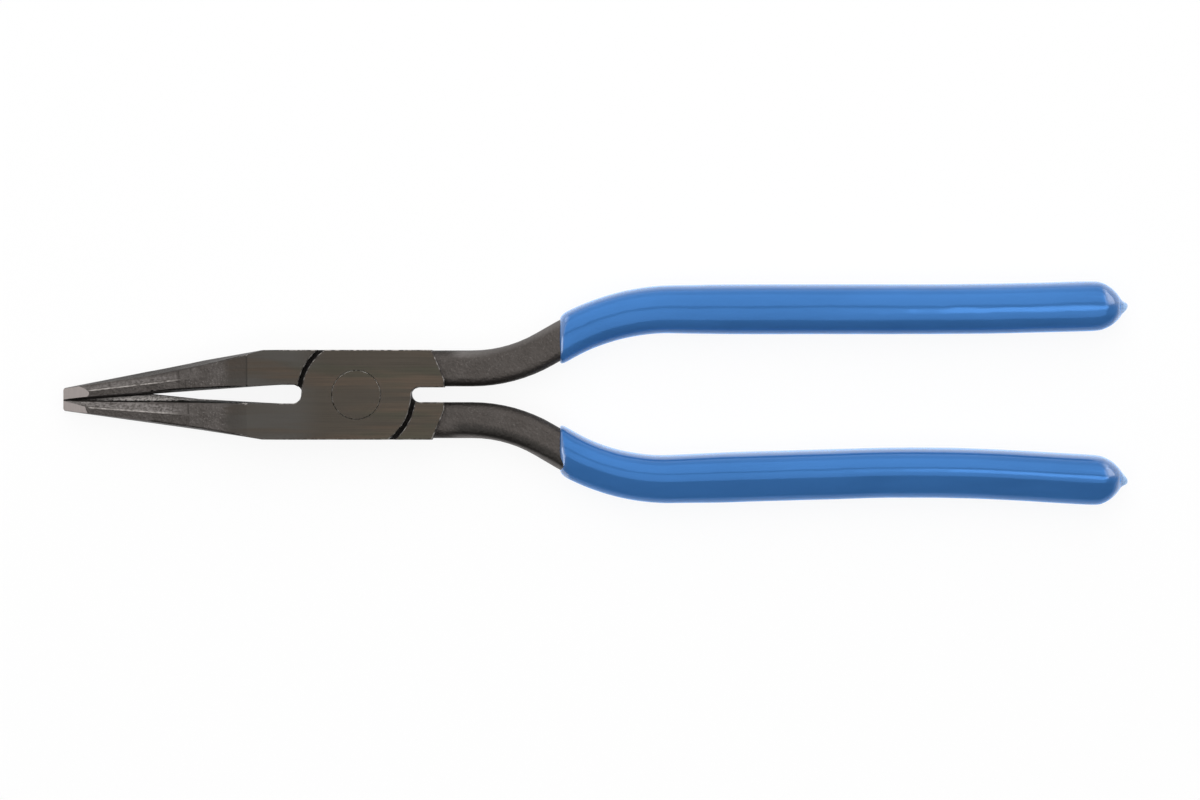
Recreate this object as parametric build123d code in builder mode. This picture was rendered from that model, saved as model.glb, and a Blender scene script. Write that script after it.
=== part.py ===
from build123d import *
from itertools import pairwise
from math import radians, tan
import os

# Long-nose pliers: two crossing forgings in a lap joint, a flush rivet and two dipped grips.
# The origin is on the pivot axis at the lower ground face. The jaws point to -X and the handles to +X.
# Each half is drawn in its own frame on the joint's middle plane: its jaw lies on the -Y side of that
# frame, its handle on the +Y side and its lap on the +Z side. The rear half's frame is turned over.

# Lap joint
joint_thickness = 11.0
joint_width = 20.2
lap_radius = 12.35
slot_width = 0.95
lap_clearance = 0.06
throat_fillet = 2.0
notch_fillet = 1.8
ground_edge = 0.2

# Ground pad where each handle leaves the joint
pad_outer_run = 3.7
pad_inner_run = 6.5
pad_inner_edge = 1.67
pad_square_end = 1.8

# Rivet, free in the front half and pressed into the rear half
rivet_head_diameter = 11.1
rivet_head_depth = 2.0
rivet_shank_diameter = 7.6
rivet_clearance = 0.04
rivet_edge = 0.15

# Jaws along their length, from the joint to the tips
jaw_length = 66.1
jaw_root_run = 4.0
jaw_side_run = 3.9
ground_run_out = 3.4
bite_length = 20.1
jaw_gap = 0.05
tip_drop = 1.2
bite_rise = 0.2
bite_land = 1.4
tip_thickness = 3.5
roof_drop = 0.4
tip_facet_length = 5.8
tip_end_thickness = 2.0
tip_corner = 0.5

# Lower jaw, distances from the pivot line
lower_throat = 1.95
lower_middle_inner = 0.95
lower_middle_inner_edge = 1.72
lower_middle_outer = 7.9
lower_bite_outer = 6.4
lower_tip_outer = 3.6
lower_inner_draft = 1.9
lower_outer_draft = 0.36

# Upper jaw, distances from the pivot line
upper_throat = 2.25
upper_middle_inner = 1.0
upper_middle_inner_edge = 1.5
upper_middle_outer = 7.6
upper_bite_outer = 5.45
upper_tip_outer = 1.5
upper_inner_draft = 0.6
upper_outer_draft = 1.1

# Tips of both jaws
tip_inner_draft = 0.3
tip_outer_draft = 0.15

# Handle tangs, distances along X from the pivot
tang_width = 8.1
tang_corner = 2.2
bend_x = 34.7
heel_run = 23.3
upper_waist_x = 140.0
lower_waist_x = 131.0
handle_end_x = 166.7
bend_ease = 8.7
heel_ease = 13.0
waist_ease = 22.0
longest_ease = 0.49
tang_end_gap = 1.0

# Handle tangs, distances from the pivot line
upper_handle_root = 5.95
upper_handle_heel = 19.25
upper_handle_waist = 19.3
upper_handle_end = 20.0
lower_handle_root = 5.7
lower_handle_heel = 19.4
lower_handle_waist = 17.2
lower_handle_end = 19.25

# Dipped grips
grip_wall = 1.6
grip_mouth_wall = 0.85
grip_corner = 4.4
grip_mouth_x = 45.8
grip_full_x = 85.0
grip_lip = 0.5
nipple_base_diameter = 3.2
nipple_end_diameter = 1.8
nipple_length = 1.4
nipple_offset = 0.7
nipple_round = 0.6

# Halvings in the search for a point on a handle
path_search_steps = 40

# Worked out from the sizes above
half_thickness = joint_thickness / 2
half_width = joint_width / 2
shoulder_radius = lap_radius + slot_width
tang_start = shoulder_radius + slot_width
tang_thickness = joint_thickness - 2 * grip_wall
grip_width = tang_width + 2 * grip_wall
root_x = shoulder_radius + jaw_root_run
side_x = root_x + jaw_side_run
ground_x = side_x + ground_run_out
bite_x = jaw_length - bite_length
middle_x = (ground_x + bite_x) / 2

front_frame = Plane((0, 0, half_thickness), x_dir=(1, 0, 0), z_dir=(0, 0, 1))
rear_frame = Plane((0, 0, half_thickness), x_dir=(1, 0, 0), z_dir=(0, 0, -1))


def between(first, last, share):
    return first + (last - first) * share


def roof_height(x):
    # Half thickness of a jaw at its ridge: full on the ground part, then tapering to the tip.
    share = max(0, (x - ground_x) / (jaw_length - ground_x))
    return between(half_thickness, tip_thickness / 2, share)


def jaw_stations(throat, middle, bite, tip):
    # Each station: x, inner land, inner edge, outer edge, outer parting line, drop of the roof's edges.
    side_share = (side_x - root_x) / (middle_x - root_x)
    ground_share = (ground_x - root_x) / (middle_x - root_x)
    outer_share = (ground_x - side_x) / (middle_x - side_x)
    inner, inner_edge, outer, outer_draft = middle
    ground_outer = between(half_width, outer, outer_share)
    return (
        (root_x, throat, throat, half_width, half_width, 0),
        (
            side_x,
            between(throat, inner, side_share),
            between(throat, inner_edge, side_share),
            half_width - outer_draft * side_share / 2,
            half_width,
            0,
        ),
        (
            ground_x,
            between(throat, inner, ground_share),
            between(throat, inner_edge, ground_share),
            ground_outer - outer_draft * ground_share,
            ground_outer,
            0,
        ),
        (middle_x, inner, inner_edge, outer - outer_draft, outer, roof_drop / 2),
        (bite_x, *bite, roof_drop),
        (jaw_length, *tip, roof_drop / 2),
    )


def jaw_sections(frame, stations):
    # Nine corners each: the inner land, a roof on both faces and drafted sides that meet outside.
    sections = []
    for x, inner, inner_edge, outer_edge, outer, drop in stations:
        ridge_height = roof_height(x)
        edge_height = ridge_height - drop
        ridge = (inner_edge + outer_edge) / 2
        across = Plane(frame.from_local_coords((-x, 0, 0)), x_dir=frame.y_dir, z_dir=frame.x_dir)
        corners = (
            (-inner, -bite_land / 2),
            (-inner, bite_land / 2),
            (-inner_edge, edge_height),
            (-ridge, ridge_height),
            (-outer_edge, edge_height),
            (-outer, 0),
            (-outer_edge, -edge_height),
            (-ridge, -ridge_height),
            (-inner_edge, -edge_height),
        )
        sections.append(Face(Wire.make_polygon([across.from_local_coords(corner) for corner in corners])))
    return sections


def handle_path(frame, root, heel, waist_x, waist, end):
    # Straight runs joined by tangent arcs that ease each corner, at most over half of a run.
    corners = [
        (tang_start, root),
        (bend_x, root),
        (bend_x + heel_run, heel),
        (waist_x, waist),
        (handle_end_x, end),
    ]
    runs = [Vector(*last) - Vector(*first) for first, last in pairwise(corners)]
    radii = []
    for (run, next_run), ease in zip(pairwise(runs), (bend_ease, heel_ease, waist_ease)):
        room = min(ease, run.length * longest_ease, next_run.length * longest_ease)
        radii.append(room / tan(radians(run.get_angle(next_run) / 2)))
    with BuildLine(frame) as path:
        FilletPolyline(*corners, radius=radii)
    return path.wire()


def share_at_x(path, x):
    # Share of the path's length that lies before the given X.
    low, high = 0, 1
    for _ in range(path_search_steps):
        middle = (low + high) / 2
        if (path @ middle).X < x:
            low = middle
        else:
            high = middle
    return low


def section_plane(frame, path, share):
    tangent = path % share
    return Plane(path @ share, x_dir=frame.z_dir.cross(tangent), z_dir=tangent)


def handle_tang(frame, path):
    # The steel inside a grip stops short of the end of the straight part.
    with BuildPart() as tang:
        with BuildSketch(section_plane(frame, path, 0)):
            RectangleRounded(tang_width, tang_thickness, tang_corner)
        sweep(path=path)
        split(bisect_by=section_plane(frame, path, 1).offset(-tang_end_gap), keep=Keep.BOTTOM)
    return tang


def plier_half(frame, stations, tang, throat, bore_clearance):
    side = Plane(frame.origin, x_dir=frame.x_dir, z_dir=-frame.y_dir)
    under = frame.offset(-half_thickness)
    pad_outer_x = shoulder_radius + pad_outer_run
    pad_inner_x = shoulder_radius + pad_inner_run
    with BuildPart() as half:
        with BuildSketch(under) as plate:
            Circle(lap_radius)
            Rectangle(2 * lap_radius, joint_width, mode=Mode.INTERSECT)
            with BuildLine():
                Polyline(
                    (0, -throat), (-root_x, -throat), (-root_x, -half_width), (0, -half_width), close=True
                )
            make_face()
            with BuildLine():
                Polyline(
                    (0, pad_inner_edge),
                    (pad_inner_x, pad_inner_edge),
                    (pad_inner_x, pad_inner_edge + pad_square_end),
                    (pad_outer_x, half_width),
                    (0, half_width),
                    close=True,
                )
            make_face()
            fillet(plate.vertices().sort_by_distance((-lap_radius, -throat))[0], throat_fillet)
            fillet(plate.vertices().sort_by_distance((lap_radius, pad_inner_edge))[0], notch_fillet)
        extrude(amount=joint_thickness)
        # Room for the other half's lap.
        with BuildSketch(under):
            Circle(shoulder_radius)
        extrude(amount=half_thickness + lap_clearance / 2, mode=Mode.SUBTRACT)
        # Broken edges round the ground faces, as far as the jaw.
        levels = half.faces().filter_by(Axis.Z).group_by(Axis(frame.origin, frame.z_dir))
        rims = [edge for face in levels[0] + levels[-1] for edge in face.edges()]
        chamfer([edge for edge in rims if edge.center().X > ground_edge - root_x], ground_edge)
        for section, next_section in pairwise(jaw_sections(frame, stations)):
            loft((section, next_section), ruled=True)
        # Facets ground on the tips.
        facet_x = jaw_length - tip_facet_length
        with BuildSketch(side):
            with BuildLine():
                Polyline(
                    (-facet_x, roof_height(facet_x)),
                    (-facet_x, joint_thickness),
                    (-jaw_length, joint_thickness),
                    (-jaw_length, tip_end_thickness / 2),
                    close=True,
                )
            make_face()
            mirror(about=Plane.XZ)
        extrude(amount=joint_width, both=True, mode=Mode.SUBTRACT)
        tip_face = half.faces().sort_by(Axis.X)[0]
        fillet(tip_face.edges().sort_by(Axis(frame.origin, frame.y_dir))[:2], tip_corner)
        add(tang.part)
        with Locations(frame.offset(half_thickness)):
            CounterBoreHole(
                rivet_shank_diameter / 2 + bore_clearance,
                rivet_head_diameter / 2 + bore_clearance,
                rivet_head_depth,
            )
    return half


def dipped_grip(frame, path, tang):
    end = Plane(path @ 1, x_dir=frame.z_dir, z_dir=path % 1)
    mouth = Plane((grip_mouth_x, 0, 0), z_dir=(1, 0, 0))
    thin_share = share_at_x(path, grip_mouth_x - grip_width / 2)
    full_share = share_at_x(path, grip_full_x)
    thinner = grip_wall - grip_mouth_wall
    with BuildSketch(section_plane(frame, path, thin_share)) as thin:
        RectangleRounded(grip_width - 2 * thinner, joint_thickness - 2 * thinner, grip_corner - thinner)
    with BuildSketch(section_plane(frame, path, full_share)) as full:
        RectangleRounded(grip_width, joint_thickness, grip_corner)
    with BuildPart() as grip:
        # The wall thickens from the mouth to the end of the heel, then stays the same.
        sweep((thin.sketch, full.sketch), path=path.trim(thin_share, full_share), multisection=True)
        sweep(full.sketch, path=path.trim(full_share, 1))
        # Round end: half the section turned about the thickness direction.
        with BuildSketch(end):
            RectangleRounded(joint_thickness, grip_width, grip_corner)
            Rectangle(joint_thickness, grip_width, align=(Align.CENTER, Align.MIN), mode=Mode.INTERSECT)
        revolve(axis=Axis(path @ 1, frame.z_dir), revolution_arc=180)
        # Drip left at the end by the dipping, a little towards the other handle.
        with BuildSketch(end):
            with Locations((0, nipple_offset)):
                Circle(nipple_base_diameter / 2)
        with BuildSketch(end.offset(grip_width / 2 + nipple_length)):
            with Locations((0, nipple_offset)):
                Circle(nipple_end_diameter / 2)
        loft()
        fillet(grip.edges().sort_by(Axis(end.origin, end.z_dir))[-1], nipple_round)
        split(bisect_by=mouth, keep=Keep.TOP)
        fillet(grip.faces().sort_by(Axis.X)[0].outer_wire().edges(), grip_lip)
        add(tang.part, mode=Mode.SUBTRACT)
    return grip


upper_path = handle_path(
    front_frame, upper_handle_root, upper_handle_heel, upper_waist_x, upper_handle_waist, upper_handle_end
)
lower_path = handle_path(
    rear_frame, lower_handle_root, lower_handle_heel, lower_waist_x, lower_handle_waist, lower_handle_end
)
upper_tang = handle_tang(front_frame, upper_path)
lower_tang = handle_tang(rear_frame, lower_path)

lower_bite = jaw_gap / 2 - bite_rise
lower_tip = jaw_gap / 2 + tip_drop
lower_jaw = jaw_stations(
    lower_throat,
    (lower_middle_inner, lower_middle_inner_edge, lower_middle_outer, lower_outer_draft),
    (lower_bite, lower_bite + lower_inner_draft, lower_bite_outer - lower_outer_draft, lower_bite_outer),
    (lower_tip, lower_tip + tip_inner_draft, lower_tip_outer - tip_outer_draft, lower_tip_outer),
)
upper_bite = jaw_gap / 2 + bite_rise
upper_tip = jaw_gap / 2 - tip_drop
upper_jaw = jaw_stations(
    upper_throat,
    (upper_middle_inner, upper_middle_inner_edge, upper_middle_outer, upper_outer_draft),
    (upper_bite, upper_bite + upper_inner_draft, upper_bite_outer - upper_outer_draft, upper_bite_outer),
    (upper_tip, upper_tip + tip_inner_draft, upper_tip_outer - tip_outer_draft, upper_tip_outer),
)

front_half = plier_half(front_frame, lower_jaw, upper_tang, lower_throat, rivet_clearance)
rear_half = plier_half(rear_frame, upper_jaw, lower_tang, upper_throat, 0)

with BuildPart() as pivot_rivet:
    with BuildSketch(Plane.XY):
        Circle(rivet_head_diameter / 2)
    extrude(amount=rivet_head_depth)
    with BuildSketch(Plane.XY.offset(joint_thickness - rivet_head_depth)):
        Circle(rivet_head_diameter / 2)
    extrude(amount=rivet_head_depth)
    with BuildSketch(Plane.XY):
        Circle(rivet_shank_diameter / 2)
    extrude(amount=joint_thickness)
    rims = pivot_rivet.edges().filter_by(GeomType.CIRCLE).sort_by(Axis.Z)
    chamfer((rims[0], rims[-1]), rivet_edge)

upper_grip = dipped_grip(front_frame, upper_path, upper_tang)
lower_grip = dipped_grip(rear_frame, lower_path, lower_tang)

os.makedirs("parts", exist_ok=True)
pieces = {
    "front_half": front_half,
    "rear_half": rear_half,
    "pivot_rivet": pivot_rivet,
    "upper_grip": upper_grip,
    "lower_grip": lower_grip,
}
for name, piece in pieces.items():
    piece.part.label = name
    export_step(piece.part, f"parts/{name}.step")
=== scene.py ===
import math
import bpy
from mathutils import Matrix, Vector


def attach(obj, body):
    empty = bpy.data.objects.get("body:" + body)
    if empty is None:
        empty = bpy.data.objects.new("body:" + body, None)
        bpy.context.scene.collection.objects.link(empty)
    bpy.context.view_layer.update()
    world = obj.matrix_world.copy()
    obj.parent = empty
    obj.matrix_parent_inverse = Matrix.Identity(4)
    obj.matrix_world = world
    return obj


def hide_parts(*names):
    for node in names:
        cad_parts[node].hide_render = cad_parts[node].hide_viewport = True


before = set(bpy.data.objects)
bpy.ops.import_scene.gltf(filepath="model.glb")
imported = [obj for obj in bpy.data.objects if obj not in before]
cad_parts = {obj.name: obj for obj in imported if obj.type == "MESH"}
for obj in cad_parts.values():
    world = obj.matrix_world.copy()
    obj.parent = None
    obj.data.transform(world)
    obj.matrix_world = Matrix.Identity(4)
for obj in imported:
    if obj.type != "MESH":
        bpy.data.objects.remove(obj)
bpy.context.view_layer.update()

mm = 0.001
midHeight = 5.5 * mm   # middle plane of the tool


# shader maths: a wired socket that takes Python operators
class Wire:
    def __init__(self, sheet, socket):
        self.sheet = sheet
        self.socket = socket

    def maths(self, operation, first, second=0.0):
        return self.sheet.add("ShaderNodeMath", {"operation": operation}, {0: first, 1: second})

    def __add__(self, other):
        return self.maths("ADD", self, other)

    def __radd__(self, other):
        return self.maths("ADD", other, self)

    def __sub__(self, other):
        return self.maths("SUBTRACT", self, other)

    def __rsub__(self, other):
        return self.maths("SUBTRACT", other, self)

    def __mul__(self, other):
        return self.maths("MULTIPLY", self, other)

    def __pow__(self, other):
        return self.maths("POWER", self, other)

    def __abs__(self):
        return self.maths("ABSOLUTE", self)

    def most(self, other):
        return self.maths("MAXIMUM", self, other)

    def rise(self, low, high):  # 0 below low, 1 above high, smooth between
        return self.sheet.add("ShaderNodeMapRange", {"interpolation_type": "SMOOTHSTEP"},
                              {"Value": self, "From Min": low, "From Max": high})

    def fall(self, low, high):  # 1 below low, 0 above high
        return 1 - self.rise(low, high)


# one node tree: add() makes any node, settings first, then its sockets
class Sheet:
    def __init__(self, owner):
        owner.use_nodes = True
        isWorld = isinstance(owner, bpy.types.World)
        self.end = "ShaderNodeOutputWorld" if isWorld else "ShaderNodeOutputMaterial"
        self.tree = owner.node_tree
        self.tree.nodes.clear()

    def add(self, kind, settings=None, sockets=None, out=0):
        node = self.tree.nodes.new(kind)
        for name, value in (settings or {}).items():
            setattr(node, name, value)
        for name, value in (sockets or {}).items():
            if isinstance(value, Wire):
                self.tree.links.new(value.socket, node.inputs[name])
            else:
                node.inputs[name].default_value = value
        return Wire(self, node.outputs[out]) if len(node.outputs) else None

    def place(self):
        return self.add("ShaderNodeTexCoord", out="Object")

    def facing(self):
        return self.add("ShaderNodeTexCoord", out="Normal")

    def split(self, vector):
        node = self.add("ShaderNodeSeparateXYZ", {}, {0: vector}).socket.node
        return [Wire(self, output) for output in node.outputs]

    def rays(self):  # 1 on camera rays, and 1 on rays that a surface sends on
        outputs = self.add("ShaderNodeLightPath").socket.node.outputs
        camera, glossy, through = [Wire(self, outputs[f"Is {kind} Ray"])
                                   for kind in ("Camera", "Glossy", "Transmission")]
        return camera, glossy.most(through)

    def noise(self, at, stretch, scale, detail, rough):
        vector = self.add("ShaderNodeMapping", {}, {"Vector": at, "Scale": stretch})
        return self.add("ShaderNodeTexNoise", {}, {"Vector": vector, "Scale": scale,
                                                   "Detail": detail, "Roughness": rough})

    def cells(self, at, scale, smoothness):
        return self.add("ShaderNodeTexVoronoi", {"feature": "SMOOTH_F1"},
                        {"Vector": at, "Scale": scale, "Smoothness": smoothness})

    def mix(self, share, first, second):  # by number, as the colour sockets share their names
        return self.add("ShaderNodeMix", {"data_type": "RGBA"},
                        {0: share, 6: first, 7: second}, out=2)

    def mixShader(self, share, first, second):
        return self.add("ShaderNodeMixShader", {}, {0: share, 1: first, 2: second})

    def relief(self, height, distance, strength, under=None):
        sockets = {"Height": height, "Distance": distance, "Strength": strength}
        if under:
            sockets["Normal"] = under
        return self.add("ShaderNodeBump", {}, sockets)

    def finish(self, shader):
        self.add(self.end, {}, {"Surface": shader})

    def surface(self, sockets):
        self.finish(self.add("ShaderNodeBsdfPrincipled", {}, sockets))


def newFinish(name):
    finish = bpy.data.materials.new(name)
    return finish, Sheet(finish)


def inMm(span):
    return [end * mm for end in span]


# steel of both halves: ground joint, forged jaws and tangs, bare ground tips
steelLook = {
    "ground": (0.0290, 0.0240, 0.0184, 1),
    "groundOlive": (0.0250, 0.0238, 0.0165, 1),
    "groundBrown": (0.0400, 0.0290, 0.0205, 1),
    "groundGrey": (0.0305, 0.0284, 0.0258, 1),
    "groundDark": (0.0165, 0.0138, 0.0108, 1),
    "forged": (0.049, 0.0435, 0.0405, 1),
    "forgedDark": (0.030, 0.0258, 0.0232, 1),
    # light worn steel: real wear in the grit specks and tip scratches; painted highlight on the
    # tang rims and painted light on the roof
    "forgedWornAndLit": (0.150, 0.139, 0.134, 1),
    # partly rubbed steel, partly painted glints and highlights on the rims and the ridge
    "wornAndGlint": (0.26, 0.242, 0.228, 1),
    # painted light: lit colour of the front jaw's inner slope; also painted glints on the rivet's
    # rim
    "slope": (0.56, 0.530, 0.505, 1),
    "tip": (0.192, 0.170, 0.162, 1),
    # painted shade: dark colour laid where shade falls on the rear tang, at the grinding step, on
    # the jaws' inner slopes, in the slot and on the lap faces
    "paintedShade": (0.010, 0.009, 0.008, 1),
    "metal": 0.85,
    "slopeDull": 0.60,             # how much less metallic the slope with painted light is
    "skinRough": (0.46, 0.16, 0.05),   # base, more with grit, less with scale
    "groundRough": (0.34, 0.14),   # base, more with grain
    "tipRough": (0.40, 0.10),
    "ridgeRough": (0.40, 0.15),
}

# noise on the steel: stretch along x, y and z, scale, detail, roughness
plain = (1, 1, 1)
steelNoise = {
    "grain": ((45, 3000, 900), 1, 4, 0.65),
    "tint": ((24, 330, 60), 1, 3, 0.5),
    "olive": ((36, 210, 60), 1.3, 2, 0.5),
    "edge": (plain, 900, 3, 0.7),
    "wander": ((200, 900, 200), 1, 3, 0.5),
    "grit": (plain, 2600, 4, 0.7),
    "scale": (plain, 300, 4, 0.6),
    # noise that breaks up the painted light on the roof
    "litRoof": ((1200, 2200, 2200), 1, 4, 0.7),
    "die": ((1500, 60, 90), 1, 2, 0.5),
    "speck": (plain, 1900, 3, 0.7),
    "scratch": ((3800, 400, 900), 1, 3, 0.5),
    "rubAndGlint": ((700, 1500, 1500), 1, 4, 0.7),
    "middle": 0.5,
    "pebbles": (1500, 0.6),        # scale and smoothness of the cells
}

# part of each noise that shows, from low to high
steelShows = {
    "brown": (0.46, 0.66),
    "olive": (0.52, 0.70),
    "grain": (0.36, 0.72),
    "grey": (0.42, 0.66),
    "edge": (0.40, 0.62),
    "patch": (0.34, 0.66),
    "grit": (0.56, 0.70),
    "litRoof": (0.36, 0.62),
    "die": (0.56, 0.66),
    "speck": (0.36, 0.56),
    "scratch": (0.3, 0.7),
    "ridge": (0.32, 0.62),
}

# strength of each layer
steelShare = {
    "olive": 0.8,
    "grain": 0.55,
    "shadeToJaw": 0.35,
    "greyLap": 0.8,
    "patch": (0.24, 0.41),         # on the tang, and more on the jaw
    "patchSwing": (0.24, 0.46),
    "bump": (0.80, 0.20),
    "grit": (0.30, 0.30),          # everywhere, and more where the skin is scaly
    # painted shade on the rear tang
    "paintedShade": 0.80,
    "runOut": 0.4,
    "runOutSmooth": 0.8,
    "die": 0.6,
    "groundLine": 0.7,
    "speck": (0.35, 0.65),
    # painted shade on the rear jaw's inner slope
    "innerShade": 0.85,
    "scratch": 0.35,
    "ridge": 0.72,
}

# low and high end of each blend over the tool, in mm
steelSpan = {
    "faceLevel": (5.1, 5.25),      # levels, away from the middle plane
    "rimLevel": (5.2, 5.28),
    "lapLevel": (0.3, 0.6),
    "slopeFoot": (0.75, 1.0),
    "shadeToJaw": (-24, 14),          # painted shade towards the jaws, along x
    "greyLap": (-15, -6),
    "runOutFrom": (-30.5, -28.0),
    "runOutTo": (-20, -18),
    "scalyFrom": (-41, -36),
    "scalyTo": (-30, -28),
    "jaw": (-16, -14),
    "tang": (20, 24),
    "roofTo": (-44, -36),
    "ridgeTo": (-43, -39),
    "dieFrom": (-42.5, -41),
    "dieTo": (-37.5, -36),
    "slopeFrom": (-63, -52),
    "slopeTo": (-24, -15),
    "slotLong": (16.5, 17),
    "slotWide": (9.7, 9.95),       # along y
    "slopeInner": (-1.40, -1.0),
    "aboveRidge": (0.0, 0.15),
    # band of painted shade on the rear tang
    "tangShade": (5.8, 7.2),
    "groundLine": (0.05, 0.30),    # away from the end of the ground part
    "tipAslant": (-18.66, -18.56),   # cuts at the tips, across their own lines
    "tipAcross": (-62.30, -62.20),
    "tipRound": (-60.28, -60.18),
}

# low and high end of each blend over the normal, upwards or along y
steelTilt = {
    "flat": (0.86, 0.96),
    "nearFlat": (0.8, 0.9),
    "roof": (0.5, 0.7),
    "wall": (0.2, 0.4),
    "rimFrom": (0.50, 0.60),
    "rimTo": (0.80, 0.90),
    "tangFace": (0.10, 0.35),      # the two faces of the tang and their rounded edges
    "frontSlope": (0.55, 0.75),
    "rearSlope": (-0.60, -0.40),
}

# lines and curves that the marks follow
steelLines = {
    "groundEnd": -24.6 * mm,       # where the ground part of the jaws stops
    "lineWander": 0.3,
    "runOutWander": 2,
    "tipAslant": 0.261,            # slopes of the two cuts at the lower tip
    "tipAcross": 0.41,
    "tipMiddle": 0.30 * mm,        # middle and curve of the round cut at the upper tip
    "tipCurve": 870,
    "tangFrom": 23.0 * mm,         # start and curve of the tang's outer edge
    "tangCurve": 13.4,
    "paintedShadeFray": 3.0,               # how far the edge of the painted shade on the tang wanders, in mm
    "speckFray": 0.2,
}

# bump: height of each layer, and depth and strength
steelBump = {
    "pebble": -0.8,
    "grit": 0.5,
    "scale": 0.6,
    "die": 0.7,
    "skin": (0.16 * mm, 0.9),
    "lines": (0.02 * mm, 0.6),
    "ridge": (0.10 * mm, 0.7),
}

# what differs between the halves, in mm; a ridge has a point and a slope
frontSkin = {
    "isFront": True,
    "groundFade": 2.6,
    "ridge": (-60.8, -2.70, -0.080),
    # band of painted light above the ridge, in mm
    "roofLit": (1.2, 2.6),
    "roofShare": 0.65,
    # painted highlight along the tang's rounded outer edge
    "rimHighlight": (7.9, 9.7),
    "rimShare": 0.75,
}
rearSkin = {
    "isFront": False,
    "groundFade": 0.4,
    "ridge": (-60.2, 0.90, 0.135),
    # band of painted light above the ridge, in mm
    "roofLit": (0.7, 1.5),
    "roofShare": 0.42,
    # painted highlight along the tang's rounded outer edge
    "rimHighlight": (8.5, 9.3),
    "rimShare": 1.0,
}


def steelMarks(s, at, name):
    return s.noise(at, *steelNoise[name])


def steelRise(wire, name):
    return wire.rise(*inMm(steelSpan[name]))


def steelFall(wire, name):
    return wire.fall(*inMm(steelSpan[name]))


def groundColour(s, at):  # straight grinding lines with heat tints, and painted shade darkening the ground towards the jaws
    x = s.split(at)[0]
    grain, tint, olive = [steelMarks(s, at, name) for name in ("grain", "tint", "olive")]
    olives = olive.rise(*steelShows["olive"]) * steelShare["olive"]
    darkLines = grain.rise(*steelShows["grain"]) * steelShare["grain"]
    greys = steelFall(x, "greyLap") * tint.fall(*steelShows["grey"]) * steelShare["greyLap"]
    colour = s.mix(tint.rise(*steelShows["brown"]), steelLook["ground"], steelLook["groundBrown"])
    colour = s.mix(olives, colour, steelLook["groundOlive"])
    colour = s.mix(darkLines, colour, steelLook["groundDark"])
    colour = s.mix(steelFall(x, "shadeToJaw") * steelShare["shadeToJaw"], colour, steelLook["groundDark"])
    return s.mix(greys, colour, steelLook["groundGrey"]), grain


def groundRough(grain):
    base, more = steelLook["groundRough"]
    return base + grain * more


def edgeWearAndGlint(s, at, upright, level):  # rims of the ground faces, lighter in places: partly rubbed, partly painted glints
    rim = steelRise(level, "rimLevel") * upright.rise(*steelTilt["rimFrom"])
    rim = rim * upright.fall(*steelTilt["rimTo"])
    return rim * steelMarks(s, at, "edge").rise(*steelShows["edge"])


def bareTip(x, y, isFront):
    if isFront:  # lower jaw, ground off aslant
        aslant = steelFall(y + x * steelLines["tipAslant"], "tipAslant")
        return aslant * steelFall(x + y * steelLines["tipAcross"], "tipAcross")
    curve = (y - steelLines["tipMiddle"]) ** 2 * steelLines["tipCurve"]
    return steelFall(x + curve, "tipRound")   # upper jaw, with a rounded end


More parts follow.
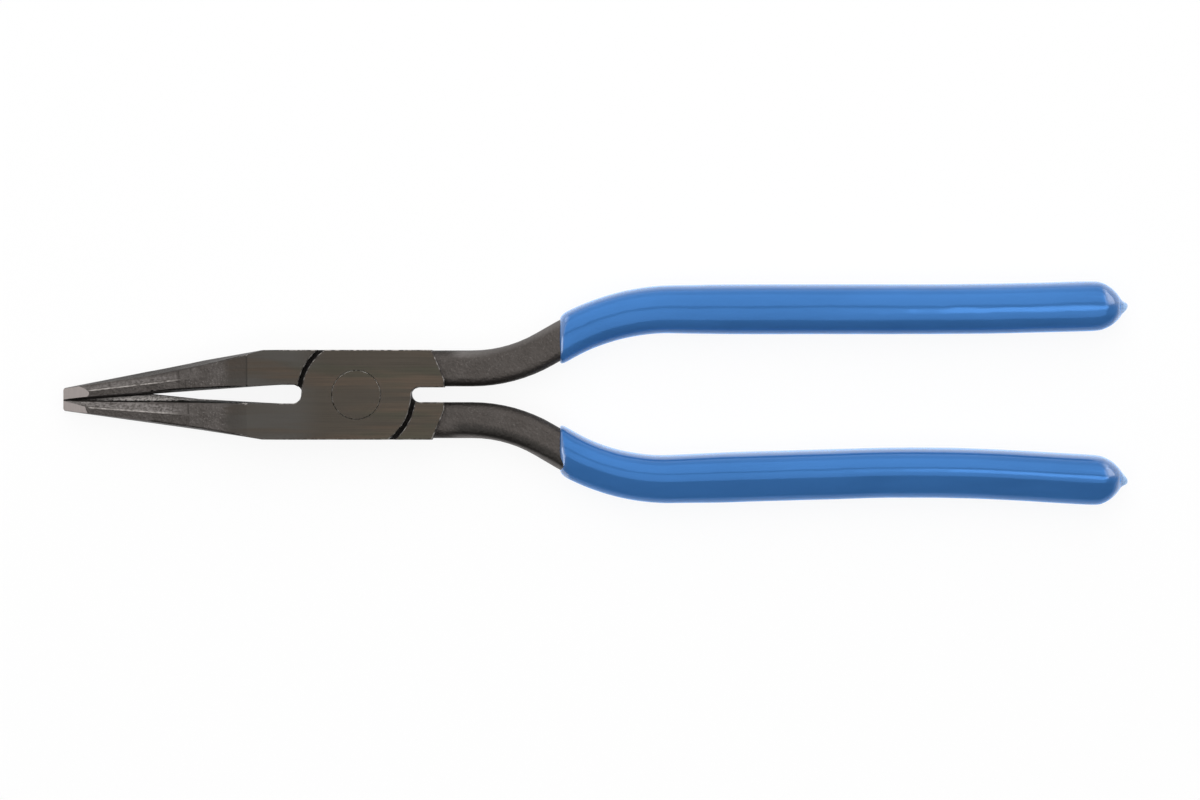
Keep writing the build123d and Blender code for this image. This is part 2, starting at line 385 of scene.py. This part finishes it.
def steelFinish(name, skin):
    finish, s = newFinish(name)
    isFront = skin["isFront"]
    at = s.place()
    x, y, z = s.split(at)
    ny, nz = s.split(s.facing())[1:]
    level = abs(z - midHeight)
    upright = abs(nz)
    onFlat, onRoof, nearFlat = [upright.rise(*steelTilt[kind])
                                for kind in ("flat", "roof", "nearFlat")]

    # ground faces, which run out on the jaws
    groundEnd, fade = steelLines["groundEnd"], skin["groundFade"] * mm
    wander = (steelMarks(s, at, "wander") - steelNoise["middle"]) * fade
    onGround = steelRise(level, "faceLevel") * onFlat
    onGround = onGround * (x + wander).rise(groundEnd - fade, groundEnd)
    runOut = steelRise(x + wander * steelLines["runOutWander"], "runOutFrom")
    runOut = runOut * steelFall(x, "runOutTo") * onFlat
    onTip = bareTip(x, y, isFront) * onRoof
    onWornGlintEdge = edgeWearAndGlint(s, at, upright, level)
    ground, grain = groundColour(s, at)

    # forged skin: pebbles, scale patches and rubbed high spots
    pebble = s.cells(at, *steelNoise["pebbles"])
    grit, scale = [steelMarks(s, at, kind) for kind in ("grit", "scale")]
    scaly = steelRise(x, "scalyFrom") * steelFall(x, "scalyTo")
    onJaw = steelFall(x, "jaw")
    patch, swing, bumpy = [steelShare[kind][0] + onJaw * steelShare[kind][1]
                           for kind in ("patch", "patchSwing", "bump")]
    patch = patch + (scale.rise(*steelShows["patch"]) - steelNoise["middle"]) * swing
    forged = s.mix(patch, steelLook["forgedDark"], steelLook["forged"])
    gritty = steelShare["grit"][0] + scaly * steelShare["grit"][1]
    forged = s.mix(grit.rise(*steelShows["grit"]) * gritty, forged, steelLook["forgedWornAndLit"])

    # tang: painted highlight along its rounded outer edge, and on the rear half painted shade
    # beside that
    onTang = steelRise(x, "tang") * upright.rise(*steelTilt["tangFace"])
    outward = abs(y) - (x - steelLines["tangFrom"]) ** 2 * steelLines["tangCurve"]
    if not isFront:
        fray = (grit - steelNoise["middle"]) * steelLines["paintedShadeFray"] * mm
        shaded = steelRise(outward + fray, "tangShade") * onTang * steelShare["paintedShade"]
        forged = s.mix(shaded, forged, steelLook["paintedShade"])
    rimHighlight = outward.rise(*inMm(skin["rimHighlight"])) * onTang * skin["rimShare"]
    forged = s.mix(rimHighlight, forged, steelLook["forgedWornAndLit"])

    # jaw: painted light on the roof facet above the ridge, broken up by noise; ground run-out and
    # upright die marks
    ridgeX, ridgeY = inMm(skin["ridge"][:2])
    aboveRidge = y - (x - ridgeX) * skin["ridge"][2] - ridgeY
    litRoof = steelRise(aboveRidge, "aboveRidge") * aboveRidge.fall(*inMm(skin["roofLit"]))
    litRoof = litRoof * steelFall(x, "roofTo") * onRoof
    litRoof = litRoof * steelMarks(s, at, "litRoof").rise(*steelShows["litRoof"])
    forged = s.mix(litRoof * skin["roofShare"], forged, steelLook["forgedWornAndLit"])
    forged = s.mix(runOut, forged, s.mix(steelShare["runOut"], ground, steelLook["forgedDark"]))
    die = steelMarks(s, at, "die").rise(*steelShows["die"])
    die = die * steelRise(x, "dieFrom") * steelFall(x, "dieTo") * nearFlat
    forged = s.mix(die * steelShare["die"], forged, steelLook["forgedDark"])
    if not isFront:  # painted shade along the step where the grinding stops
        step = abs(x + wander * steelLines["lineWander"] - groundEnd)
        step = steelFall(step, "groundLine") * steelShare["groundLine"]
        forged = s.mix(step, forged, steelLook["paintedShade"])
        ground = s.mix(step, ground, steelLook["paintedShade"])

    # inner slope of the jaw: painted light, speckled, in front, with painted shade near the bite;
    # painted shade on the rear half
    metal = steelLook["metal"]
    along = steelRise(x, "slopeFrom") * steelFall(x, "slopeTo")
    if isFront:
        slope = ny.rise(*steelTilt["frontSlope"]) * along
        speck = steelMarks(s, at, "speck").rise(*steelShows["speck"])
        inner = y + (speck - steelNoise["middle"]) * steelLines["speckFray"] * mm
        deep = steelFall(level, "slopeFoot").most(steelFall(inner, "slopeInner"))
        forged = s.mix(slope * deep, forged, steelLook["paintedShade"])
        slope = slope * (steelShare["speck"][0] + speck * steelShare["speck"][1]) * (1 - deep)
        forged = s.mix(slope, forged, steelLook["slope"])
        metal = metal - slope * steelLook["slopeDull"]
    else:
        shaded = ny.fall(*steelTilt["rearSlope"]) * along * steelShare["innerShade"]
        forged = s.mix(shaded, forged, steelLook["paintedShade"])
    # painted shade in the slot and on the lap faces between the halves
    inSlot = steelFall(abs(x), "slotLong") * steelFall(abs(y), "slotWide")
    inSlot = inSlot * upright.fall(*steelTilt["wall"])
    inLap = steelFall(level, "lapLevel") * nearFlat
    forged = s.mix(inSlot.most(inLap), forged, steelLook["paintedShade"])

    # bare tips: fine scratches from the wheel
    scratch = steelMarks(s, at, "scratch")
    scratched = scratch.rise(*steelShows["scratch"]) * steelShare["scratch"]
    tip = s.mix(scratched, steelLook["tip"], steelLook["forgedWornAndLit"])

    colour = s.mix(onGround, forged, ground)
    # rims lighter in places: rubbing and painted glints
    colour = s.mix(onWornGlintEdge, colour, steelLook["wornAndGlint"])
    colour = s.mix(onTip, colour, tip)
    base, more, less = steelLook["skinRough"]
    rough = base + grit * more - scale * less
    rough = rough + onGround * (groundRough(grain) - rough)
    tipRough = steelLook["tipRough"][0] + scratch * steelLook["tipRough"][1]
    rough = rough + onTip * (tipRough - rough)
    bare = (1 - onGround) * (1 - onTip) * (1 - runOut * steelShare["runOutSmooth"])
    height = pebble * steelBump["pebble"] + grit * steelBump["grit"] + scale * steelBump["scale"]
    height = (height - die * steelBump["die"]) * bare * bumpy
    bump = s.relief(height, *steelBump["skin"])
    bump = s.relief(grain * onGround + scratch * onTip, *steelBump["lines"], bump)
    s.surface({"Base Color": colour, "Roughness": rough, "Metallic": metal, "Normal": bump})
    return finish


def ridgeFinish():  # ridge of the jaws: partly rubbed, partly painted highlight
    finish, s = newFinish("ridgeWearAndHighlight")
    at = s.place()
    rubAndGlint = steelMarks(s, at, "rubAndGlint")
    share = rubAndGlint.rise(*steelShows["ridge"]) * steelFall(s.split(at)[0], "ridgeTo")
    share = share * steelShare["ridge"]
    base, more = steelLook["ridgeRough"]
    s.surface({"Base Color": s.mix(share, steelLook["forged"], steelLook["wornAndGlint"]),
               "Roughness": base + rubAndGlint * more, "Metallic": steelLook["metal"],
               "Normal": s.relief(rubAndGlint, *steelBump["ridge"])})
    return finish


def rivetFinish():  # ground with the joint; its rim lighter in places, partly rubbed, partly painted glints
    finish, s = newFinish("rivetSteel")
    at = s.place()
    level, upright = abs(s.split(at)[2] - midHeight), abs(s.split(s.facing())[2])
    ground, grain = groundColour(s, at)
    onWornGlintEdge = edgeWearAndGlint(s, at, upright, level)
    s.surface({"Base Color": s.mix(onWornGlintEdge, ground, steelLook["slope"]),
               "Roughness": groundRough(grain), "Metallic": steelLook["metal"],
               "Normal": s.relief(grain, *steelBump["lines"])})
    return finish


# glossy dipped PVC; spans in mm along x, tilts over the normal
dipLook = {
    "blue": (0.037, 0.134, 0.355, 1),
    "deep": (0.032, 0.118, 0.315, 1),
    "thin": (0.34, 0.50, 0.74, 1),     # painted light: the drip is painted paler, as if light came through it
    "glossTint": (0.12, 0.36, 0.88, 1),
    "rimTint": (0.08, 0.42, 1.0, 1),
    "ior": 1.70,
    "rough": (0.07, 0.08),             # base, more with the clouds
    "coatIor": 2.0,
    "coatRough": 0.05,
    "sheen": 1.0,
    "sheenRough": 0.30,
    "clouds": ((40, 160, 160), 1, 3, 0.5),   # stretch, scale, detail, roughness
    "waves": ((60, 420, 420), 1, 2, 0.5),
    "grit": (plain, 2600, 2, 0.5),
    "cloudy": (0.35, 0.7),
    "waveBump": (0.05 * mm, 0.5),
    "gritBump": (0.003 * mm, 0.4),
    "drip": (172.0, 172.9),
    "endFrom": (160, 161),
    "endTo": (171.6, 172.0),
    "mouth": (47.4, 48.2),
    "endOut": (0.08, 0.32),
    "endUp": (-0.10, 0.12),
    "lipOut": (-0.42, -0.14),
    "steep": (0.45, 0.80),
    "upperRim": (0.2, 0.5),
    "capFrom": (0.5, 0.8),
    "capTo": (0.85, 0.95),
}


def dipFinish():
    finish, s = newFinish("dippedPvc")
    at = s.place()
    x = s.split(at)[0]
    nx, ny, nz = s.split(s.facing())
    cloud, wave, grit = [s.noise(at, *dipLook[kind]) for kind in ("clouds", "waves", "grit")]
    blue = s.mix(cloud.rise(*dipLook["cloudy"]), dipLook["blue"], dipLook["deep"])
    # painted light: the drip end is painted paler, as if lit through
    blue = s.mix(x.rise(*inMm(dipLook["drip"])), blue, dipLook["thin"])
    bump = s.relief(wave, *dipLook["waveBump"])
    bump = s.relief(grit, *dipLook["gritBump"], bump)
    # clear skin: thickest round the end, on the lip and along the upper rim
    atEnd = x.rise(*inMm(dipLook["endFrom"])) * x.fall(*inMm(dipLook["endTo"]))
    atEnd = atEnd * nx.rise(*dipLook["endOut"]) * ny.rise(*dipLook["endUp"])
    atLip = x.fall(*inMm(dipLook["mouth"])) * nx.fall(*dipLook["lipOut"])
    atCap = nx.rise(*dipLook["capFrom"]) * nx.fall(*dipLook["capTo"])
    atRim = abs(nz).fall(*dipLook["steep"]) * ny.rise(*dipLook["upperRim"]).most(atCap)
    s.surface({"Base Color": blue, "Roughness": dipLook["rough"][0] + cloud * dipLook["rough"][1],
               "IOR": dipLook["ior"], "Specular Tint": dipLook["glossTint"], "Normal": bump,
               "Coat Weight": atEnd.most(atRim).most(atLip),
               "Coat IOR": dipLook["coatIor"], "Coat Roughness": dipLook["coatRough"],
               "Sheen Weight": dipLook["sheen"], "Sheen Roughness": dipLook["sheenRough"],
               "Sheen Tint": dipLook["rimTint"]})
    return finish


def objectMode():
    bpy.ops.object.mode_set(mode="OBJECT")


def editMode():
    bpy.ops.object.mode_set(mode="EDIT")


def pickAll(action):
    bpy.ops.mesh.select_all(action=action)


def pickBy(kind):
    bpy.ops.mesh.select_mode(type=kind)


def clearPick():
    if bpy.context.mode != "OBJECT":
        objectMode()
    bpy.ops.object.select_all(action="DESELECT")


def edit(piece, kind):  # opens the piece alone, picking by VERT, EDGE or FACE
    clearPick()
    piece.select_set(True)
    bpy.context.view_layer.objects.active = piece
    editMode()
    pickBy(kind)


def extrude(way):
    bpy.ops.mesh.extrude_region_move(TRANSFORM_OT_translate={"value": way})


def applied(piece, name, kind, settings):  # a modifier, set and applied
    modifier = piece.modifiers.new(name, kind)
    for key, value in settings.items():
        setattr(modifier, key, value)
    bpy.ops.object.modifier_apply(modifier=name)


def dress(piece, body, node):
    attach(piece, body)
    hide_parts(node)


# forged halves: the CAD solid with its forged edges rounded over
halfEdges = {
    "jawRound": 0.42 * mm,
    "jawSteps": 5,
    "jawFrom": -24.5 * mm,
    "jawTo": -61.0 * mm,
    "sharpAbove": math.radians(22),
    "ridgeRound": 0.15 * mm,
    "ridgeSteps": 1,
    "ridgeFrom": -35.0 * mm,
    "ridgeAbove": math.radians(5),
    "roofUp": 0.85,                # a face this upright is part of the roof
    "biteFrom": -46.0 * mm,
    "biteFaces": 0.95,
    "biteOut": 0.022 * mm,         # each bite comes this far towards the other
    "weld": 0.001 * mm,
    "sameFace": math.radians(0.1),
    "smoothBelow": math.radians(20),
    "flatUp": 0.9999,
    "facetUp": 0.9,
    "facetOut": -0.18,
}


def pickEdges(piece, test):  # picks the edges whose ends and two faces pass
    edit(piece, "EDGE")
    pickAll("DESELECT")
    objectMode()
    sides = {}
    for face in piece.data.polygons:
        for key in face.edge_keys:
            sides.setdefault(key, []).append(face.normal)
    points = piece.data.vertices
    for edge in piece.data.edges:
        ends = [points[i].co for i in edge.vertices]
        edge.select = test(ends, *sides[tuple(sorted(edge.vertices))])
    editMode()


def isRoof(one, other):
    return min(abs(one.z), abs(other.z)) > halfEdges["roofUp"]


def isSharp(ends, one, other):
    onJaw = all(halfEdges["jawTo"] < end.x < halfEdges["jawFrom"] for end in ends)
    return onJaw and not isRoof(one, other) and one.angle(other) > halfEdges["sharpAbove"]


def isRidge(ends, one, other):  # between the two roof slopes of the jaw
    onJaw = all(halfEdges["jawTo"] < end.x < halfEdges["ridgeFrom"] for end in ends)
    roof = one.y * other.y < 0 and isRoof(one, other)
    return onJaw and roof and one.angle(other) > halfEdges["ridgeAbove"]


def crispRim():  # marks the rim of the picked faces sharp
    bpy.ops.mesh.region_to_loop()
    bpy.ops.mesh.mark_sharp()


def roundPicked(size, steps, slot):  # rounds the picked edges; the new strip keeps crisp sides
    bpy.ops.mesh.bevel(offset=size, segments=steps, affect="EDGES", clamp_overlap=True,
                       material=slot)
    crispRim()


def forgedHalf(node, name, finishes, bite):  # bite is the way the bite faces, along y
    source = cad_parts[node]
    piece = bpy.data.objects.new(name, source.data.copy())
    bpy.context.scene.collection.objects.link(piece)
    piece.data.materials.clear()
    for finish in finishes:
        piece.data.materials.append(finish)
    edit(piece, "EDGE")
    bpy.ops.mesh.customdata_custom_splitnormals_clear()
    pickAll("SELECT")
    bpy.ops.mesh.remove_doubles(threshold=halfEdges["weld"])
    bpy.ops.mesh.dissolve_limited(angle_limit=halfEdges["sameFace"])
    pickAll("DESELECT")
    objectMode()
    for face in piece.data.polygons:
        inBite = face.center.x < halfEdges["biteFrom"]
        face.select = inBite and face.normal.y * bite > halfEdges["biteFaces"]
    edit(piece, "FACE")
    bpy.ops.transform.translate(value=(0, bite * halfEdges["biteOut"], 0))
    pickEdges(piece, isSharp)
    roundPicked(halfEdges["jawRound"], halfEdges["jawSteps"], 0)
    pickEdges(piece, isRidge)
    roundPicked(halfEdges["ridgeRound"], halfEdges["ridgeSteps"], 1)
    pickAll("DESELECT")
    objectMode()
    bpy.ops.object.shade_smooth_by_angle(angle=halfEdges["smoothBelow"], keep_sharp_edges=True)
    for face in piece.data.polygons:  # ground faces and tip facets stay flat up to their rims
        upright = abs(face.normal.z)
        facet = face.center.x < halfEdges["jawTo"] and face.normal.x < halfEdges["facetOut"]
        face.select = upright > halfEdges["flatUp"] or facet and upright > halfEdges["facetUp"]
    edit(piece, "FACE")
    crispRim()
    objectMode()
    return piece


# dipped sleeves: modelled straight, then bent along the handle and cut at the mouth
sleeve = {
    "width": 11.3 * mm,
    "thick": 11.0 * mm,
    "corner": 4.4 * mm,
    "cornerSteps": 4,
    "thinner": 0.75 * mm,          # how much thinner the wall is at the mouth end
    "thinAt": 40.15 * mm,
    "fullAt": 85.0 * mm,
    "startBack": 19.0 * mm,        # straight run before the heel
    "steps": 30,
    "lineSteps": 48,
    "looseEnd": 1 * mm,            # free handle at each end of the line
    "easeMost": 0.49,
    "dish": 0.06 * mm,             # how far the flats sink
    "near": 0.01 * mm,
    "slumpBands": ((0.5, 2.0, 0.5, 0.25), (2.0, 3.4, 0.3, 0.5),
                   (3.4, 4.8, 0.1, 0.35)),   # from, to, aside and down, in mm
    "crown": 0.975,                # share of the thickness at the end of the straight part
    "endRings": ((14, 0.975, 0), (28, 0.95, 0.1), (41, 0.94, 0.15), (53, 0.95, 0.15),
                 (63.5, 1.03, 0.2)),   # degrees round the end, slimness, shift
    "dripRings": ((-0.26, 4.2, 0.2), (0.0, 3.4, 0.1), (0.3, 2.84, 0.1), (0.7, 2.24, 0),
                  (1.1, 1.6, 0), (1.3, 1.0, 0), (1.41, 0.4, 0)),   # mm past the end, size, shift
    "dripSide": 0.7 * mm,
    "softness": 2,
    "mouth": 45.8 * mm,
    "lip": 0.80 * mm,
    "lipRun": 1.4 * mm,
    "lipSteps": 4,
    "lipFaces": -0.99,
    "tang": (8.1 * mm, 7.8 * mm),
    "boreSlack": 0.1 * mm,
    "boreDeep": 5,                 # in mm
    "hair": 0.001 * mm,
    "cutWithin": 0.0001 * mm,
    "weld": 0.002 * mm,
    "swell": 0.09 * mm,
    "swellSize": 9 * mm,
    "swellMiddle": 0.75,
    "smoothBelow": math.radians(60),
}
# corners of the handle's line in mm; turn in degrees and slump tip the flat top forward
upperHandle = {
    "bend": (34.7, 5.95), "heel": (58.0, 19.25), "waist": (140.0, 19.3), "end": (166.7, 20.0),
    "heelEase": 13.0, "waistEase": 22.0, "side": 1, "turn": 1.5, "slump": 0.3,
}
lowerHandle = {
    "bend": (34.7, -5.7), "heel": (58.0, -19.4), "waist": (131.0, -17.2), "end": (166.7, -19.25),
    "heelEase": 13.0, "waistEase": 22.0, "side": -1, "turn": 5, "slump": 1.0,
}


def handleLine(handle, name):
    bend, heel, waist, end = [Vector((*handle[corner], 0)) * mm
                              for corner in ("bend", "heel", "waist", "end")]
    into, along, out = [(b - a).normalized()
                        for a, b in ((bend, heel), (heel, waist), (waist, end))]
    heelEase = handle["heelEase"] * mm
    waistEase = min(handle["waistEase"] * mm, (end - waist).length * sleeve["easeMost"])
    knots = [(heel - into * sleeve["startBack"], into), (heel - into * heelEase, into),
             (heel + along * heelEase, along), (waist - along * waistEase, along),
             (waist + out * waistEase, out), (end, out)]
    line = bpy.data.curves.new(name, "CURVE")
    line.dimensions = "3D"
    line.resolution_u = sleeve["lineSteps"]
    line.twist_mode = "Z_UP"
    run = line.splines.new("BEZIER")
    run.bezier_points.add(len(knots) - 1)
    for i, (knot, (place, way)) in enumerate(zip(run.bezier_points, knots)):
        isLast = i == len(knots) - 1
        before = (place - knots[i - 1][0]).length if i else sleeve["looseEnd"]
        after = sleeve["looseEnd"] if isLast else (knots[i + 1][0] - place).length
        knot.handle_left_type = knot.handle_right_type = "FREE"
        knot.co = place
        knot.handle_left = place - way * before / 3  # a third of the way, as Bezier arcs need
        knot.handle_right = place + way * after / 3
    guide = bpy.data.objects.new(name, line)
    bpy.context.scene.collection.objects.link(guide)
    bpy.context.view_layer.update()
    return guide, run.calc_length(), into, knots[0][0].x


def shapeSection(piece, handle, thick):  # rounds the corners, sinks the flats, tips the upper one
    edit(piece, "VERT")
    pickAll("SELECT")
    bpy.ops.mesh.bevel(offset=sleeve["corner"] - sleeve["thinner"], segments=sleeve["cornerSteps"],
                       affect="VERTICES", profile=0.5)
    pickBy("EDGE")
    for side in (1, -1):
        pickAll("DESELECT")
        objectMode()
        inFlat = [side * (corner.co.z - midHeight) > thick / 2 - sleeve["near"]
                  for corner in piece.data.vertices]
        for edge in piece.data.edges:
            edge.select = all(inFlat[i] for i in edge.vertices)
        editMode()
        bpy.ops.mesh.subdivide(number_cuts=1)
        objectMode()
        for corner in piece.data.vertices:
            onSide = side * (corner.co.z - midHeight) > 0
            corner.select = onSide and abs(corner.co.y) < sleeve["near"]
        editMode()
        pickBy("VERT")
        bpy.ops.transform.translate(value=(0, 0, -side * sleeve["dish"]))
        pickBy("EDGE")
    pickBy("VERT")
    slump = handle["slump"]
    for near, far, aside, down in sleeve["slumpBands"]:
        pickAll("DESELECT")
        objectMode()
        for corner in piece.data.vertices:
            corner.select = near * mm < -corner.co.y < far * mm and corner.co.z > midHeight
        editMode()
        bpy.ops.transform.translate(value=(0, aside * slump * mm, -down * slump * mm))
    pickBy("FACE")
    pickAll("SELECT")
    bpy.ops.transform.rotate(value=-math.radians(handle["turn"]), orient_axis="X",
                             center_override=(0, 0, midHeight))


def sleeveRings(handle, length, sizeAt):  # place along the handle, width, thickness, shift aside
    steps = sleeve["steps"]
    for i in range(1, steps + 1):
        wide, thick = sizeAt(length * i / steps)
        yield length * i / steps, wide, thick * sleeve["crown"] if i == steps else thick, 0
    radius, corner = sleeve["width"] / 2, sleeve["corner"]
    aside = -handle["side"] * sleeve["dripSide"]
    for turn, slim, shift in sleeve["endRings"]:
        out = radius * math.sin(math.radians(turn))
        over = max(0, out - (radius - corner))
        rise = sleeve["thick"] / 2 - corner + math.sqrt(max(0, corner ** 2 - over ** 2))
        wide = 2 * radius * slim * math.cos(math.radians(turn))
        yield length + out, wide, 2 * sleeve["crown"] * rise, aside * shift
    for out, size, shift in sleeve["dripRings"]:
        yield length + radius + out * mm, size * mm, size * mm, aside * shift


def rollMouth(piece, into):  # cuts the mouth upright, rolls the lip in and sinks the bore
    edit(piece, "FACE")
    pickAll("SELECT")
    cut = sleeve["mouth"] + sleeve["lipRun"]
    bpy.ops.mesh.bisect(plane_co=(cut, 0, 0), plane_no=(1, 0, 0), clear_inner=True,
                        threshold=sleeve["cutWithin"])
    pickBy("EDGE")
    pickAll("DESELECT")
    bpy.ops.mesh.select_non_manifold()
    bpy.ops.mesh.edge_face_add()
    pickBy("FACE")
    pickAll("SELECT")
    bpy.ops.mesh.normals_make_consistent(inside=False)
    pickAll("DESELECT")
    objectMode()
    for face in piece.data.polygons:
        atCut = face.center.x < cut + sleeve["hair"]
        face.select = atCut and face.normal.x < sleeve["lipFaces"]
    picked = [face for face in piece.data.polygons if face.select]
    rim = [piece.data.vertices[i].co for face in picked for i in face.vertices]
    high, low = max(p.y for p in rim), min(p.y for p in rim)
    top, under = max(p.z for p in rim), min(p.z for p in rim)
    centre = Vector((cut, (high + low) / 2, (top + under) / 2))
    wide, thick = high - low, top - under
    editMode()
    turns = [math.radians(90 * i / sleeve["lipSteps"]) for i in range(sleeve["lipSteps"] + 1)]
    for before, after in zip(turns, turns[1:]):  # along the handle, so the sides stay in line
        step = into * (sleeve["lipRun"] * (math.sin(after) - math.sin(before)) / into.x)
        shrink = 2 * sleeve["lip"] * (math.cos(before) - math.cos(after))
        centre = centre - step
        extrude(tuple(-step))
        bpy.ops.transform.resize(value=(1, (wide - shrink) / wide, (thick - shrink) / thick),
                                 center_override=centre)
        wide, thick = wide - shrink, thick - shrink
    boreWide = sleeve["tang"][0] / into.x + sleeve["boreSlack"]
    boreThick = sleeve["tang"][1] + sleeve["boreSlack"]
    extrude((0, 0, 0))
    bpy.ops.transform.resize(value=(1, boreWide / wide, boreThick / thick), center_override=centre)
    extrude(tuple(into * sleeve["boreDeep"] * mm))
    pickAll("SELECT")
    bpy.ops.mesh.remove_doubles(threshold=sleeve["weld"])
    bpy.ops.mesh.normals_make_consistent(inside=False)
    objectMode()


def dippedSleeve(handle, name, finish):
    guide, length, into, startX = handleLine(handle, name + "_line")

    def sizeAt(along):  # the wall thickens away from the mouth
        x = startX + along * (into.x if along < sleeve["startBack"] else 1)
        share = (sleeve["fullAt"] - x) / (sleeve["fullAt"] - sleeve["thinAt"])
        thin = sleeve["thinner"] * min(1, max(0, share))
        return sleeve["width"] - 2 * thin, sleeve["thick"] - 2 * thin

    clearPick()
    bpy.ops.mesh.primitive_plane_add(size=1, location=(0, 0, midHeight),
                                     rotation=(0, math.pi / 2, 0))
    piece = bpy.context.active_object
    piece.name = name
    reach, (wide, thick) = 0, sizeAt(0)
    piece.scale = (thick, wide, 1)
    bpy.ops.object.transform_apply(location=True, rotation=True, scale=True)
    shapeSection(piece, handle, thick)
    for to, newWide, newThick, shift in sleeveRings(handle, length, sizeAt):
        scale = (1, newWide / wide, newThick / thick)
        extrude((to - reach, 0, 0))
        if scale != (1, 1, 1):
            bpy.ops.transform.resize(value=scale, center_override=(to, 0, midHeight))
        if shift:
            bpy.ops.transform.translate(value=(0, shift, 0))
        reach, wide, thick = to, newWide, newThick
    objectMode()
    applied(piece, "smooth", "SUBSURF", {"levels": sleeve["softness"],
                                         "render_levels": sleeve["softness"]})
    applied(piece, "bend", "CURVE", {"object": guide, "deform_axis": "POS_X"})
    bpy.data.objects.remove(guide)
    rollMouth(piece, into)
    cloth = bpy.data.textures.new(name + "_swell", "CLOUDS")
    cloth.noise_scale = sleeve["swellSize"]
    applied(piece, "waves", "DISPLACE", {"texture": cloth, "texture_coords": "LOCAL",
                                         "strength": sleeve["swell"],
                                         "mid_level": sleeve["swellMiddle"]})
    bpy.ops.object.shade_smooth_by_angle(angle=sleeve["smoothBelow"])
    piece.data.materials.append(finish)
    return piece


ridge = ridgeFinish()
frontSteel = steelFinish("frontSteel", frontSkin)
rearSteel = steelFinish("rearSteel", rearSkin)
frontHalf = forgedHalf("front_half", "forged_front_half", (frontSteel, ridge), 1)
rearHalf = forgedHalf("rear_half", "forged_rear_half", (rearSteel, ridge), -1)
dress(frontHalf, "front_half", "front_half")
dress(rearHalf, "rear_half", "rear_half")
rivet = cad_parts["pivot_rivet"]
rivet.data.materials.clear()
rivet.data.materials.append(rivetFinish())
print("halves and rivet:", len(frontHalf.data.polygons), len(rearHalf.data.polygons))

pvc = dipFinish()
upperGrip = dippedSleeve(upperHandle, "dipped_upper_grip", pvc)
lowerGrip = dippedSleeve(lowerHandle, "dipped_lower_grip", pvc)
dress(upperGrip, "front_half", "upper_grip")
dress(lowerGrip, "rear_half", "lower_grip")
print("grips:", len(upperGrip.data.polygons), len(lowerGrip.data.polygons))


# studio: pale floor, soft boxes overhead, white surround
white = (1, 1, 1, 1)
studio = {
    "floorSize": 12.0,
    "floorAt": (0.05, 0, -0.10 * mm),
    "floorTone": (0.92, 0.92, 0.92, 1),
    "floorGlow": 0.90,
    "fill": 0.26,
    "darkSide": (0.12, 0.12, 0.12, 1),
    "darkSpan": (-0.75, -0.10),    # from the near side, along y
    "cameraHigh": 1.6,
    "viewCentre": (54.8 * mm, -1.17 * mm),
    "viewWide": 270.5 * mm,
    "sensor": 36,
    "sight": 50,                   # how far the camera sees, in m
}

# soft boxes: place, point they face, width and depth, brightness of the cloth
softBoxes = {
    "nearBox": ((0.05, -0.3125, 0.95), (0.05, -0.3125, 0), (1.1, 0.545), 2.05),
    "backBox": ((0.05, 0.645, 0.95), (0.05, 0.645, 0), (1.1, 1.21), 2.35),
    "sideBox": ((0.05, 1.35, 0.52), (0.05, 0, 0.28), (2.2, 1.0), 0.95),
    "endBox": ((0.912, 0.431, 1.225), (-0.076, -0.139, 0.85), (1.1, 1.88), 1.5),
    "mouthBox": ((-0.95, -0.45, 0.75), (0.05, 0, 0), (0.8, 0.7), 2.3),
    "stripBox": ((0.47, -0.125, 0.94), (0.47, -0.125, 0), (0.6, 0.14), 5.0),
    "table": ((0.05, 0, -0.05 * mm), (0.05, 0, 1), (0.6, 0.5), 1.25),
}


def softBox(name, place, aim, size, bright):
    lamp = bpy.data.lights.new(name, "AREA")
    lamp.shape = "RECTANGLE"
    lamp.size, lamp.size_y = size
    lamp.energy = bright * math.pi * size[0] * size[1]
    holder = bpy.data.objects.new(name, lamp)
    bpy.context.scene.collection.objects.link(holder)
    holder.location = place
    holder.rotation_euler = (Vector(place) - Vector(aim)).to_track_quat("Z", "Y").to_euler()
    return holder


clearPick()
bpy.ops.mesh.primitive_plane_add(size=studio["floorSize"], location=studio["floorAt"])
floor = bpy.context.active_object
floor.name = "studio_floor"
paper, p = newFinish("paleFloor")
direct, mirrored = p.rays()
lit = p.add("ShaderNodeBsdfDiffuse", {}, {"Color": studio["floorTone"]})
glow = p.add("ShaderNodeEmission", {}, {"Color": white, "Strength": 1.0})
p.finish(p.mixShader(direct.most(mirrored) * studio["floorGlow"], lit, glow))
floor.data.materials.append(paper)

surround = bpy.data.worlds.new("whiteSurround")
bpy.context.scene.world = surround
w = Sheet(surround)
direct, mirrored = w.rays()
towards = w.split(w.add("ShaderNodeTexCoord", out="Generated"))[1]
shade = w.mix(towards.rise(*studio["darkSpan"]), studio["darkSide"], white)
dim, bright, clear = [w.add("ShaderNodeBackground", {}, {"Color": colour, "Strength": strength})
                      for colour, strength in ((shade, studio["fill"]), (shade, 1.0), (white, 1.0))]
w.finish(w.mixShader(direct, w.mixShader(mirrored, dim, bright), clear))

lamps = {name: softBox(name, *values) for name, values in softBoxes.items()}
for name in ("endBox", "mouthBox", "stripBox"):
    lamps[name].visible_diffuse = False  # glints only
lamps["table"].visible_glossy = False  # light from below, on the rims only
lamps["table"].visible_camera = False

lens = bpy.data.cameras.new("overhead")
lens.sensor_width = studio["sensor"]
lens.lens = studio["sensor"] * (studio["cameraHigh"] - midHeight) / studio["viewWide"]
lens.clip_end = studio["sight"]
eye = bpy.data.objects.new("overhead", lens)
bpy.context.scene.collection.objects.link(eye)
eye.location = (*studio["viewCentre"], studio["cameraHigh"])
bpy.context.scene.camera = eye
bpy.context.scene.view_settings.view_transform = "Standard"
print("studio and camera are set")
